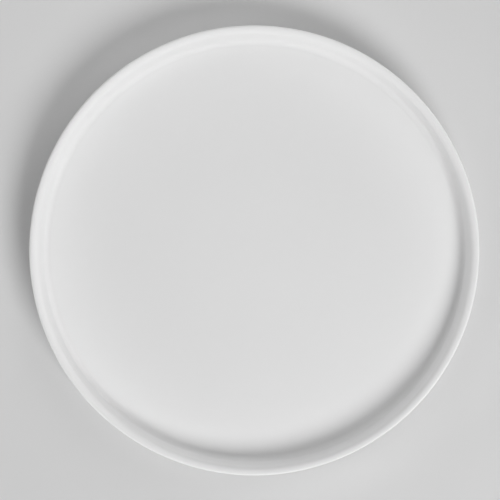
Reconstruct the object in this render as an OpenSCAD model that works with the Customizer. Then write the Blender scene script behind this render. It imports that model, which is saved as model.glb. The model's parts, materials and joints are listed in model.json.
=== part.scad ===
// Straight-sided coupe dinner plate: one fired clay body under two coats of satin white glaze.
// Its section is drawn as (radius, height) and turned about Z.
// Z = 0 is the surface that the bare foot ring stands on.
// Sizes are those of the glazed plate, except on the foot ring, which is bare clay.

/* [Plate] */
// Outside diameter over the lip
plate_d = 270; // [240:1:300]
// Depth of the well, from the top of the lip to the floor
well_depth = 14; // [11:0.5:20]
// Thickness of the floor
floor_t = 6; // [4:0.1:8]

/* [Rim] */
// Radius of the lip's inner side, which rolls softly into the well
lip_in_r = 4; // [3:0.1:5]
// Radius of the lip's outer edge
lip_out_r = 1.3; // [1:0.1:2]
// Lean of the rim's inner face, in degrees from upright
inner_lean = 12; // [5:1:20]
// Lean of the rim's outer face, in degrees from upright
outer_lean = 7; // [0:1:12]
// Radius of the cove between the rim and the floor of the well
cove_r = 4; // [2:0.1:6]
// Radius of the shoulder, where the rim's outer face turns under
shoulder_r = 8; // [6:0.5:11]

/* [Foot ring] */
// Diameter of the foot ring at the middle of its band
foot_d = 182; // [140:1:196]
// Width of the flat band that the plate stands on
foot_w = 3.5; // [2:0.1:6]
// Height of the underside above the table
foot_h = 5; // [4:0.25:8]
// Lean of the ring's two sides, in degrees from upright
foot_lean = 10; // [0:1:20]
// Radius of the band's two edges
foot_edge_r = 0.8; // [0.4:0.1:1.2]
// Radius between the ring and the underside
foot_root_r = 2; // [1:0.1:2.5]

/* [Glaze] */
// Thickness of the glaze
glaze_t = 0.35; // [0.2:0.05:0.6]
// Height of the bare clay that is wiped clean of glaze above the table
bare_h = 1.4; // [1:0.1:1.6]

/* [Hidden] */
// Steps in a full turn of the section, and degrees between the points of an arc in it
turn_fn = 240;
arc_step = 5;
// Heights of the floor and of the lip
floor_z = foot_h + floor_t;
plate_h = floor_z + well_depth;
// The lip is two arcs that meet at its crest, and each touches its own face of the rim
crest_r = plate_d / 2 - lip_out_r;
lip_in_c = [crest_r, plate_h - lip_in_r];
lip_out_c = [crest_r, plate_h - lip_out_r];
// The cove touches the rim's inner face and the floor
cove_z = floor_z + cove_r;
cove_in = (lip_in_r + cove_r + (lip_in_c.y - cove_z) * sin(inner_lean)) / cos(inner_lean);
cove_c = [crest_r - cove_in, cove_z];
// The shoulder touches the rim's outer face and the underside
shoulder_z = foot_h + shoulder_r;
shoulder_in = (shoulder_r - lip_out_r + (lip_out_c.y - shoulder_z) * sin(outer_lean)) / cos(outer_lean);
shoulder_c = [crest_r - shoulder_in, shoulder_z];
// The edge of the foot's band, and the root that touches the ring's side and the underside
foot_r = foot_d / 2;
edge_c = [foot_r + foot_w / 2, foot_edge_r];
root_c = [ring_side(foot_h - foot_root_r, glaze_t + foot_root_r), foot_h - foot_root_r];

// Radius of the ring's outer side at a height, a coat's thickness outside the clay
function ring_side(z, coat) =
    edge_c.x + (foot_edge_r + coat + (z - edge_c.y) * sin(foot_lean)) / cos(foot_lean);

// Points of an arc between two angles
function arc(centre, radius, from, to) =
    let (steps = ceil(abs(to - from) / arc_step))
    [for (i = [0 : steps])
        let (turn = from + (to - from) * i / steps)
        centre + radius * [cos(turn), sin(turn)]];

// Points in the opposite order
function reversed(points) = [for (i = [len(points) - 1 : -1 : 0]) points[i]];

// Points without the first, where a path already ends on it
function after_first(points) = [for (i = [1 : len(points) - 1]) points[i]];

// Points carried across the ring's middle, from its outer side to its inner side
function across(points) = [for (p = points) [2 * foot_r - p.x, p.y]];

// Where the ring meets the underside, a depth below the glazed surface
function root(depth) = arc(root_c, foot_root_r + depth, 180 - foot_lean, 90);

// From the ring's root out along the underside, up the rim, over the lip and in to the middle of the floor
function face(depth) = concat(
    root(depth),
    arc(shoulder_c, shoulder_r - depth, -90, -outer_lean),
    arc(lip_out_c, lip_out_r - depth, -outer_lean, 90),
    after_first(arc(lip_in_c, lip_in_r - depth, 90, 180 - inner_lean)),
    arc(cove_c, cove_r + depth, -inner_lean, -90),
    [[0, floor_z - depth]]
);

// From the ring's root in to the middle of the underside
function base(depth) = concat(across(root(depth)), [[0, foot_h + depth]]);

// The glaze's edge on the ring's outer side: it thins to nothing over its own thickness
glaze_edge = [
    [ring_side(bare_h, 0), bare_h],
    [ring_side(bare_h + glaze_t, glaze_t), bare_h + glaze_t]
];

// The outer edge of the ring's bare band
ring_edge = arc(edge_c, foot_edge_r, -90, -foot_lean);

// The fired body: floor, rim and foot ring in one piece
module clay_body() {
    color([0.86, 0.83, 0.77])
    rotate_extrude($fn = turn_fn)
    polygon(concat(reversed(base(glaze_t)), reversed(across(ring_edge)), ring_edge, face(glaze_t)));
}

// The coat over the floor, the rim and the underside outside the foot ring
module face_glaze() {
    color([0.93, 0.93, 0.93])
    rotate_extrude($fn = turn_fn)
    polygon(concat(glaze_edge, face(0), reversed(face(glaze_t))));
}

// The coat over the underside inside the foot ring
module base_glaze() {
    color([0.91, 0.91, 0.91])
    rotate_extrude($fn = turn_fn)
    polygon(concat(across(glaze_edge), base(0), reversed(base(glaze_t))));
}

clay_body();
face_glaze();
base_glaze();
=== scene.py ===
# %% [markdown]
# # A satin white dinner plate
#
# The object is a round stoneware plate with a flat floor, a low upright rim with a soft lip, and a
# bare foot ring underneath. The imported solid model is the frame: it fixes every size. This lesson
# gives the plate its finished surface, its glaze and its light. Everything is in metres.

# %% Load the frame
import json
import math

import bpy
import numpy as np
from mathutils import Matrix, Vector


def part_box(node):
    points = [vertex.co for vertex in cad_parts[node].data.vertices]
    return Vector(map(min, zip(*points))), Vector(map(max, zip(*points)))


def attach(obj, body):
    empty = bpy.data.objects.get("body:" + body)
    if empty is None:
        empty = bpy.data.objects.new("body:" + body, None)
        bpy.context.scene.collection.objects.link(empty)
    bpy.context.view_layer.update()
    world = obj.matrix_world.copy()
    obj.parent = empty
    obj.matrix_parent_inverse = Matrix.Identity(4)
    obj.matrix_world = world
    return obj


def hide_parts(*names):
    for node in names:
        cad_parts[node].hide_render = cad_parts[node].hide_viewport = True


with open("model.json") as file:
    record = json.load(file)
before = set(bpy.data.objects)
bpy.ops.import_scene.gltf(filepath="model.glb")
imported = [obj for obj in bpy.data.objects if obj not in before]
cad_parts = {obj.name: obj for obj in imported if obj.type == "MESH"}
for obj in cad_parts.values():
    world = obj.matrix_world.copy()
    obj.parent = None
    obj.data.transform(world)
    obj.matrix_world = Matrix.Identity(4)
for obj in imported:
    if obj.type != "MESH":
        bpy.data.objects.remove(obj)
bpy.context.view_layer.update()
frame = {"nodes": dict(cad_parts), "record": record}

MM = 0.001


print("nodes:", sorted(frame["nodes"]))

# %% [markdown]
# ## The sizes
#
# A potter would take callipers to the fired plate. Here the solid model is measured instead: the
# boxes of its three nodes and its two resting faces give the main sizes, so the dressed plate can't
# drift away from it. Only the leans and radii of the section are written down again.

# %% Measure the solid model
rests = {mount["name"]: mount["pos_m"] for mount in frame["record"]["mounts"]}
face_low, face_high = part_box("face_glaze")
clay_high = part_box("clay_body")[1]
base_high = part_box("base_glaze")[1]
plate_r = face_high.x
plate_h = face_high.z
glaze_t = plate_h - clay_high.z
floor_z = rests["well_floor"][2]
foot_r = rests["foot_ring"][0]
foot_h = base_high.z - glaze_t
bare_h = face_low.z
print(f"plate {2 * plate_r / MM:.1f} mm across and {plate_h / MM:.1f} mm high,"
      f" floor at {floor_z / MM:.1f} mm, glaze {glaze_t / MM:.2f} mm thick")

# %% Leans and radii of the section
lip_in_r = 4 * MM
lip_out_r = 1.3 * MM
cove_r = 4 * MM
shoulder_r = 8 * MM
foot_w = 3.5 * MM
foot_edge_r = 0.8 * MM
foot_root_r = 2 * MM
inner_lean = math.radians(12)
outer_lean = math.radians(7)
foot_lean = math.radians(10)
# Directions in the section, as angles from outward
DOWN = math.radians(-90)
UP = math.radians(90)
INWARD = math.radians(180)
print(f"lip radii {lip_in_r / MM:.1f} and {lip_out_r / MM:.1f} mm, cove radius {cove_r / MM:.1f} mm")

# %% [markdown]
# ## The section
#
# A plate is thrown or pressed as a body of revolution, so one curve holds its whole shape. The
# curve could be drawn by hand with control points, but then its radii would only be near the real
# ones. Here it is a chain of arcs, each of which touches the straight stretches beside it. A surface
# that lies deeper by the same amount all over, such as the clay under its glaze, has the same
# centres: round edges lose that depth and hollows gain it.

# %% Arcs and stretches
def arc(centre, radius, start, end, steps=16):
    """Centre plus radius times (cosine, sine) of the angle, which bunches up at both ends.

    Small steps at the ends let the shading run smoothly into the straight stretches.
    """
    share = (1 - np.cos(np.linspace(0, np.pi, steps + 1))) / 2
    turn = start + (end - start) * share
    return np.array(centre) + radius * np.stack([np.cos(turn), np.sin(turn)], axis=1)


def filled_in(path, longest):
    """The path with each long stretch cut into equal steps no longer than the given length."""
    run = np.linalg.norm(np.diff(path, axis=0), axis=1)
    cuts = np.maximum(1, np.ceil(run / longest)).astype(int)
    at = np.repeat(np.arange(len(run)), cuts)
    share = (np.arange(len(at)) - np.repeat(np.cumsum(cuts) - cuts, cuts)) / cuts[at]
    steps = path[at] + share[:, None] * (path[at + 1] - path[at])
    return np.concatenate([steps, path[-1:]])


def touching(lip_c, z, lean, gap):
    """Centre of a circle at height z that touches the leaning face that an arc of the lip touches.

    Gap is how far apart the two centres lie, square to the face.
    """
    reach = gap + (lip_c[1] - z) * math.sin(lean)
    return np.array([lip_c[0] - reach / math.cos(lean), z])


crest_r = plate_r - lip_out_r
lip_in_c = np.array([crest_r, plate_h - lip_in_r])
lip_out_c = np.array([crest_r, plate_h - lip_out_r])
cove_c = touching(lip_in_c, floor_z + cove_r, inner_lean, lip_in_r + cove_r)
shoulder_c = touching(lip_out_c, foot_h + shoulder_r, outer_lean, shoulder_r - lip_out_r)
edge_c = np.array([foot_r + foot_w / 2, foot_edge_r])
for label, centre in (("lip", lip_in_c), ("cove", cove_c), ("shoulder", shoulder_c)):
    out, up = centre / MM
    print(f"centre of the {label}: {out:.2f} mm from the axis, {up:.2f} mm up")

# %% Runs of the section
def ring_side(z, coat):
    """Radius of the foot ring's outer side at height z, a coat's thickness outside the clay."""
    rise = (z - edge_c[1]) * math.sin(foot_lean)
    return edge_c[0] + (foot_edge_r + coat + rise) / math.cos(foot_lean)


root_z = foot_h - foot_root_r
root_c = np.array([ring_side(root_z, glaze_t + foot_root_r), root_z])


def root(depth):
    """The hollow between the underside and the ring's outer side, from the underside down."""
    return arc(root_c, foot_root_r + depth, UP, INWARD - foot_lean)


def face(depth):
    """From the middle of the floor over the lip and under the rim to the ring's outer side."""
    return np.concatenate([
        [[0, floor_z - depth]],
        arc(cove_c, cove_r + depth, DOWN, -inner_lean),
        arc(lip_in_c, lip_in_r - depth, INWARD - inner_lean, UP),
        arc(lip_out_c, lip_out_r - depth, UP, -outer_lean)[1:],
        arc(shoulder_c, shoulder_r - depth, -outer_lean, DOWN, steps=20),
        root(depth),
    ])


def across(path):
    """The path mirrored in the middle of the foot ring."""
    return path * [-1, 1] + [2 * foot_r, 0]


def base(depth):
    """From the middle of the underside to the ring's inner side."""
    return np.concatenate([[[0, foot_h + depth]], across(root(depth))])


ring_edge = arc(edge_c, foot_edge_r, -foot_lean, DOWN, steps=8)
print("points in the section of the face:", len(face(0)))

# %% [markdown]
# ## What the hand leaves
#
# Two small traces of the making are shape, not colour. The glaze is wiped off the foot with a wet
# sponge, so its edge wanders by a fifth of a millimetre and draws up into a round bead in the fire.
# The underside keeps shallow rings from the turning tool, softened by the glaze over them.

# %% Glaze line and turning rings
TURNS = 360
angle = np.linspace(0, 2 * np.pi, TURNS, endpoint=False)


def all_round(path):
    """The same path at every angle of the turn."""
    return np.broadcast_to(path[:, None], (len(path), TURNS, 2))


def bead(phase, wander=0.12 * MM, steps=6):
    """The glaze's quarter-round edge on the ring's outer side, from its top down to the clay.

    Its foot wanders up and down about a middle line by a sum of three sine waves of the angle.
    """
    heights = (1.0, 0.7, 0.4)
    turns = (3 * angle + phase, 7 * angle - phase, 17 * angle)
    waves = sum(height * np.sin(turn) for height, turn in zip(heights, turns))
    low = bare_h + wander * (1 + waves / sum(heights))
    fall = np.linspace(0, UP, steps + 1)[:, None]
    z = low + glaze_t * (1 - np.sin(fall))
    return np.stack([ring_side(z, glaze_t * np.cos(fall)), z], axis=-1)


def with_rings(path, spacing=6 * MM, depth=0.04 * MM):
    """The underside cut by a cosine of the radius, which fades out before the foot ring."""
    radius = path[:, :1]
    fade = np.clip((2 * foot_r - root_c[0] - radius) / spacing, 0, 1)
    return path + depth * fade * (1 - np.cos(2 * np.pi * radius / spacing)) / 2 * [0, 1]


face_bead = bead(phase=0.5)
base_bead = bead(phase=2.0)
for label, edge in (("outside", face_bead), ("inside", base_bead)):
    line = edge[-1, :, 1] / MM
    print(f"glaze line {label} the ring: {line.min():.2f} to {line.max():.2f} mm above the table")

# %% [markdown]
# ## Turning the section
#
# The Screw and Spin tools turn a curve into a surface, but they leave a seam and a pinched pole to
# mend. A grid does it in one step: every point of the section, times every angle. A section that
# starts and ends on the axis closes at two single points, so the mesh is watertight.

# %% Turn a section into a mesh
def placed(name, data):
    """A new object at the origin that holds the given mesh, lamp or camera."""
    thing = bpy.data.objects.new(name, data)
    bpy.context.scene.collection.objects.link(thing)
    return thing


def turned(name, section):
    """Point (r, z) of the section at angle t lies at (r cos t, r sin t, z). Both ends are poles."""
    radius, z = section[1:-1, :, 0], section[1:-1, :, 1]
    points = np.stack([radius * np.cos(angle), radius * np.sin(angle), z], axis=-1).reshape(-1, 3)
    poles = np.array([[0, 0, section[0, 0, 1]], [0, 0, section[-1, 0, 1]]])
    here = np.arange(TURNS)
    there = np.roll(here, -1)
    row = np.arange(len(radius) - 1)[:, None] * TURNS
    quads = np.stack([row + here, row + TURNS + here, row + TURNS + there, row + there], axis=-1)
    first_pole = np.full(TURNS, len(points))
    last_row = len(points) - TURNS
    fans = np.concatenate([
        np.stack([first_pole, here, there], axis=1),
        np.stack([first_pole + 1, last_row + there, last_row + here], axis=1),
    ])
    mesh = bpy.data.meshes.new(name)
    faces = quads.reshape(-1, 4).tolist() + fans.tolist()
    mesh.from_pydata(np.concatenate([points, poles]).tolist(), [], faces)
    mesh.shade_smooth()
    print(f"{name}: {len(section)} points in its section, {quads.size // 2 + len(fans)} triangles")
    return placed(name, mesh)


# %% [markdown]
# ## The three layers
#
# The fired clay is one piece. Glaze is dipped or sprayed over it and melts to a glassy coat of
# about a third of a millimetre. The foot ring is bare, so the coat over the face and the coat under
# the base are two separate shells. Each shell is drawn with its hidden side against the clay,
# because a coat without thickness would have no edge to see at the foot.

# %% Make the clay and its two coats
clay = turned("fired_clay", all_round(np.concatenate([
    face(glaze_t), ring_edge, across(ring_edge)[::-1], base(glaze_t)[::-1]])))
face_coat = turned("glaze_over_face", np.concatenate([
    all_round(filled_in(face(0), longest=3 * MM)), face_bead, all_round(face(glaze_t)[::-1])]))
base_coat = turned("glaze_under_base", np.concatenate([
    all_round(base(glaze_t)), across(base_bead)[::-1],
    all_round(with_rings(filled_in(base(0), longest=1 * MM))[::-1])]))
layers = (
    (clay, "clay_body", "bare_clay"),
    (face_coat, "face_glaze", "face_glaze"),
    (base_coat, "base_glaze", "base_glaze"),
)
for piece, node, slot in layers:
    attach(piece, "root")
    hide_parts(node)

# %% [markdown]
# ## The finishes
#
# A material is a small machine that works out a colour for each point. Its nodes can be joined by
# hand in the Shader Editor. In a script it reads better as arithmetic, so a wire between two nodes
# gets a class of its own: a sum, a difference or a product with a wire in it adds a Math node.

# %% A wire for shader arithmetic
class Wire:
    """The output of a node. Arithmetic on wires adds Math nodes, and into() adds any other node."""

    def __init__(self, tree, socket):
        self.tree = tree
        self.socket = socket

    def into(self, kind, sockets, out=0, **settings):
        """A node of that kind: its settings are set first, then its sockets are joined or set."""
        node = self.tree.nodes.new(kind)
        for key, value in settings.items():
            setattr(node, key, value)
        for key, value in sockets.items():
            if isinstance(value, Wire):
                self.tree.links.new(value.socket, node.inputs[key])
            else:
                node.inputs[key].default_value = value
        return Wire(self.tree, node.outputs[out])

    def math(self, operation, first, second):
        """A Math node that works on two wires, or on a wire and a number."""
        return self.into("ShaderNodeMath", {0: first, 1: second}, operation=operation)

    def __add__(self, other):
        return self.math("ADD", self, other)

    def __sub__(self, other):
        return self.math("SUBTRACT", self, other)

    def __rsub__(self, other):
        return self.math("SUBTRACT", other, self)

    def __mul__(self, other):
        return self.math("MULTIPLY", self, other)

    # A sum or a product is the same from either side
    __radd__ = __add__
    __rmul__ = __mul__


# %% Helpers for a finish
def new_finish(name):
    """A material, its shader and a wire that carries each point's place on the object in metres."""
    material = bpy.data.materials.new(name)
    material.use_nodes = True
    tree = material.node_tree
    place = Wire(tree, tree.nodes.new("ShaderNodeTexCoord").outputs["Object"])
    return material, tree.nodes["Principled BSDF"], place


def cloud(place, size, detail=2.0):
    """Soft noise about zero, between -0.5 and 0.5, with patches of about the given size."""
    noise = place.into("ShaderNodeTexNoise", {"Vector": place, "Scale": 1 / size, "Detail": detail})
    return noise - 0.5


def dress(shader, tone, roughness, relief, depth, sheen):
    """Joins tone, roughness and relief to a shader and sets the strength of its sheen.

    Depth is the height of a step of 1 in relief.
    """
    normal = relief.into("ShaderNodeBump", {"Height": relief, "Distance": depth})
    for wire, socket in ((tone, "Base Color"), (roughness, "Roughness"), (normal, "Normal")):
        wire.tree.links.new(wire.socket, shader.inputs[socket])
    shader.inputs["Specular IOR Level"].default_value = sheen


# %% [markdown]
# ### Satin glaze
#
# A satin white glaze is full of crystals too small to see. They scatter the light, so the surface
# has a soft sheen and no mirror image. Its tone holds painted light and shade: painted light makes it
# a little lighter near the rim than over the middle of the plate, painted shade darkens the steep
# inside of the rim, and painted light lightens the lip. The melt is never quite even: patches differ
# by about one part in a hundred in tone and by several in roughness, and the skin has a very fine
# orange peel.

# %% Glaze
def satin_glaze_with_painted_light(name, middle_tone, white, painted_shade_inside_rim, lip):
    """Tone climbs to a painted light near the rim, falls to a painted shade inside the rim, climbs to
    a painted light on the lip.

    Two sizes of noise vary the tone and the roughness too.
    """
    material, shader, place = new_finish(name)
    patches = cloud(place, 40 * MM)
    flecks = cloud(place, 5 * MM)
    peel = cloud(place, 1.5 * MM, detail=1.0)
    level = place.into("ShaderNodeVectorMath", {0: place, 1: (1, 1, 0)}, operation="MULTIPLY")
    radius = level.into("ShaderNodeVectorMath", {0: level}, out=1, operation="LENGTH")

    def climb(start, end, height):
        """A smooth step of that height between two shares of the plate's radius."""
        return radius.into("ShaderNodeMapRange", {
            "Value": radius, "From Min": start * plate_r, "From Max": end * plate_r,
            "To Min": 0.0, "To Max": height}, interpolation_type="SMOOTHSTEP")

    # Painted light lightens the floor towards the rim, painted shade darkens the steep inside of the
    # rim, and painted light lightens the lip
    painted_light_over_floor = climb(start=0.35, end=0.9, height=white - middle_tone)
    painted_shade_step = climb(start=0.91, end=0.93, height=painted_shade_inside_rim - white)
    painted_light_over_lip = climb(start=0.955, end=0.985, height=lip - painted_shade_inside_rim)
    tone = middle_tone + painted_light_over_floor + (painted_shade_step + painted_light_over_lip) + 0.014 * patches + 0.008 * flecks
    roughness = 0.7 + 0.1 * patches + 0.08 * flecks
    dress(shader, tone, roughness, relief=peel, depth=0.006 * MM, sheen=0.25)
    return material


# The face glaze's tone carries that painted light and painted shade
face_coat.data.materials.append(
    satin_glaze_with_painted_light("satin_white_glaze", middle_tone=0.822, white=0.853, painted_shade_inside_rim=0.82, lip=0.86))
base_coat.data.materials.append(
    satin_glaze_with_painted_light("satin_white_glaze_below", middle_tone=0.81, white=0.83, painted_shade_inside_rim=0.83, lip=0.83))

# %% [markdown]
# ### Bare clay
#
# Where the glaze is wiped off, the fired clay shows: warm, matte and finely grained. The band that
# the plate stands on is rubbed greyer and smoother by tables and by other plates.

# %% Clay
def bare_clay(name, cream, grey):
    """Mixes two colours by the height above the table, broken up by grain and patches."""
    material, shader, place = new_finish(name)
    grain = cloud(place, 0.5 * MM, detail=3.0)
    patches = cloud(place, 8 * MM)
    height = place.into("ShaderNodeSeparateXYZ", {0: place}, out=2)
    rubbed = height.into("ShaderNodeMapRange", {
        "Value": height, "From Max": 0.5 * MM, "To Min": 0.6, "To Max": 0.15})
    share = rubbed + 0.5 * patches - 0.6 * grain
    # The Mix node's colours are its sockets 6 and 7, and its mixed colour is output 2
    tone = share.into("ShaderNodeMix", {0: share, 6: cream, 7: grey}, out=2, data_type="RGBA")
    roughness = 0.9 - 0.2 * rubbed
    dress(shader, tone, roughness, relief=grain, depth=0.03 * MM, sheen=0.3)
    return material


clay.data.materials.append(
    bare_clay("bare_stoneware", cream=(0.72, 0.67, 0.59, 1), grey=(0.52, 0.49, 0.45, 1)))
for piece in (clay, face_coat, base_coat):
    print(piece.name, "wears", piece.data.materials[0].name)

# %% [markdown]
# ## The set
#
# The plate stands on a pale grey board, wide enough to fill the picture. Its surface is matte with
# a slight tooth, so that the shadow of the rim falls on it without any glare.

# %% Floor
def grey_board(name, grey):
    """Tone follows broad patches and a fine tooth, which is the relief too."""
    material, shader, place = new_finish(name)
    patches = cloud(place, 60 * MM)
    tooth = cloud(place, 1.2 * MM)
    tone = grey + 0.012 * patches + 0.016 * tooth
    roughness = 0.9 + 0.1 * tooth
    dress(shader, tone, roughness, relief=tooth, depth=0.02 * MM, sheen=0.1)
    return material


half = 3.0
board = bpy.data.meshes.new("floor")
board.from_pydata([(-half, -half, 0), (half, -half, 0), (half, half, 0), (-half, half, 0)],
                  [], [(0, 1, 2, 3)])
board.materials.append(grey_board("pale_grey_board", grey=0.713))
floor = placed("floor", board)
print(f"board {2 * half:.0f} m square")

# %% [markdown]
# ### Light
#
# One broad lamp stands at the front right. It draws the shadow inside the rim and the longer one on
# the board behind. Four weak lamps high up on both sides soften these shadows. Five low cards throw
# a little light along the board, so that the rim doesn't go flat where the key is hidden. The room
# adds a trace of light from all round.

# %% Lamps
def lamp(name, turn, lift, away, size, watts):
    """A round soft lamp that faces the plate from a turn about Z and a lift above the board.

    Both are in degrees. Its place is away times (cos lift cos turn, cos lift sin turn, sin lift).
    """
    print(f"{name}: {watts} W, {away} m away, {turn} degrees round and {lift} degrees up")
    turn = math.radians(turn)
    lift = math.radians(lift)
    way = Vector((math.cos(lift) * math.cos(turn), math.cos(lift) * math.sin(turn), math.sin(lift)))
    light = bpy.data.lights.new(name, "AREA")
    light.shape = "DISK"
    light.size = size
    light.energy = watts
    stand = placed(name, light)
    stand.location = away * way
    stand.rotation_euler = way.to_track_quat("Z", "Y").to_euler()


lamp("key", turn=-60, lift=42, away=2.3, size=1.15, watts=36.7)
lamp("fill_right", turn=15, lift=60, away=1.5, size=0.9, watts=1.6)
lamp("fill_back", turn=45, lift=45, away=1.5, size=0.9, watts=3.2)
lamp("fill_left", turn=165, lift=60, away=1.5, size=0.9, watts=1.3)
lamp("fill_front", turn=195, lift=45, away=1.5, size=0.9, watts=2.7)
lamp("card_right", turn=20, lift=8, away=1.5, size=0.35, watts=3.6)
lamp("card_far", turn=85, lift=5, away=1.5, size=0.25, watts=4.3)
lamp("card_back", turn=100, lift=25, away=0.6, size=0.4, watts=0.32)
lamp("card_left", turn=190, lift=8, away=1.5, size=0.35, watts=3.6)
lamp("card_front", turn=230, lift=8, away=1.5, size=0.35, watts=2.1)

# %% Surroundings
ROOM_LIGHT = 0.02
world = bpy.data.worlds.new("surroundings")
world.use_nodes = True
room = world.node_tree.nodes["Background"]
room.inputs["Color"].default_value = (1, 1, 1, 1)
room.inputs["Strength"].default_value = ROOM_LIGHT
bpy.context.scene.world = world
print("light from all round:", ROOM_LIGHT)

# %% [markdown]
# ### Camera
#
# The plate is seen from straight above, a hair to the left of its middle. A long lens a metre away
# keeps the rim from hiding any of the floor. At the height of the lip, 300 mm fill the picture.

# %% Camera
SEEN = 300 * MM
AWAY = 1.0
LEFT = 2.54 * MM
BACK = 0.26 * MM
eye = bpy.data.cameras.new("camera")
eye.sensor_width = 36.0
eye.lens = eye.sensor_width * AWAY / SEEN
camera = placed("camera", eye)
camera.location = (-LEFT, BACK, lip_out_c[1] + AWAY)
bpy.context.scene.camera = camera
bpy.context.scene.view_settings.view_transform = "Standard"
print(f"lens {eye.lens:.0f} mm, {camera.location.z:.3f} m above the board")
